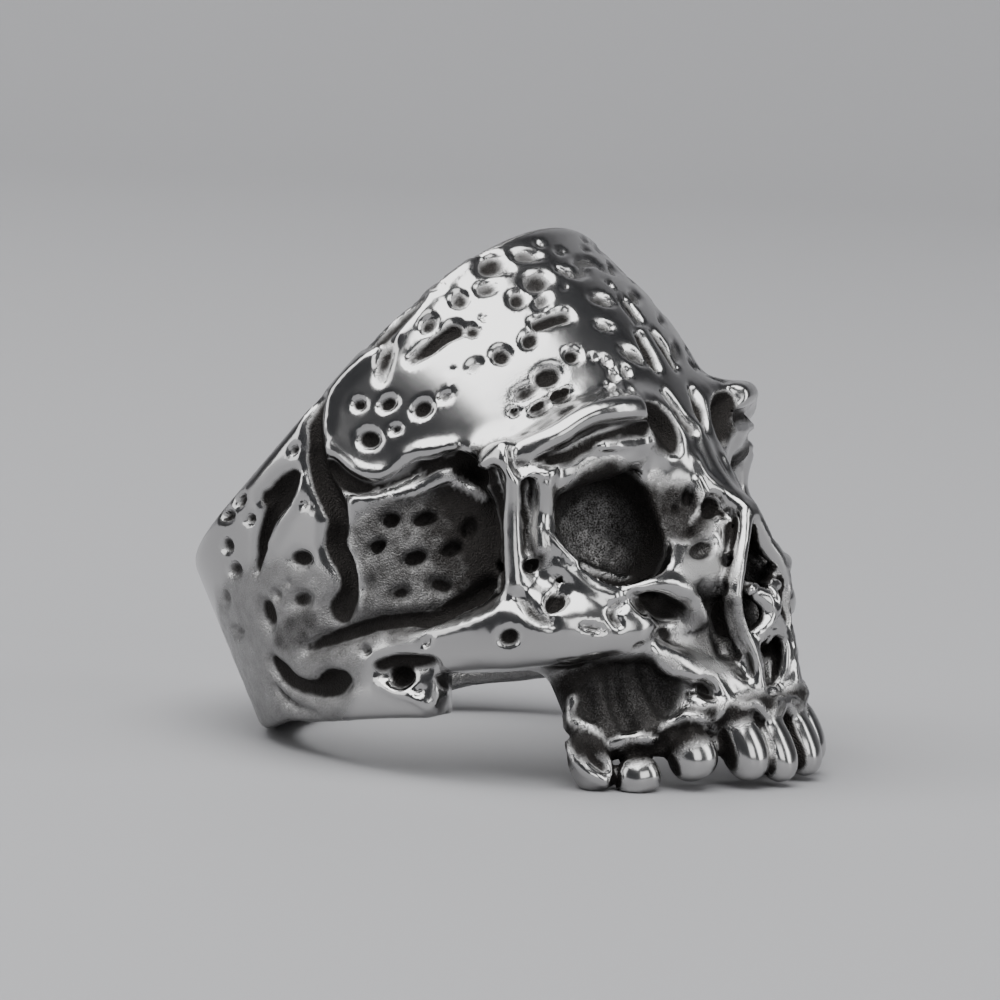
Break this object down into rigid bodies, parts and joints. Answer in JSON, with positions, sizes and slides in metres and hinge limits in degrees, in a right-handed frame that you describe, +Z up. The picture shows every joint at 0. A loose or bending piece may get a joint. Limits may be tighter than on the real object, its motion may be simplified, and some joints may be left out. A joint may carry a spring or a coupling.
{
  "type": "skull ring",
  "caption": "One-piece cast finger ring whose front is a skull without a lower jaw, lying on its lower edge.",
  "frame": {"origin": "on the ground, under the middle of the ring's box as it lies", "axes": "+Z up, the skull faces -Y, +X to the skull's left; the finger hole leans back from +Z towards +Y"},
  "size_m": [0.0264, 0.0328, 0.0259],
  "materials": {
    "steel": "polished on the high places and blackened in the hollows, pits and cracks"
  },
  "bodies": {
    "root": {"skull_ring": "steel"}
  },
  "joints": []
}
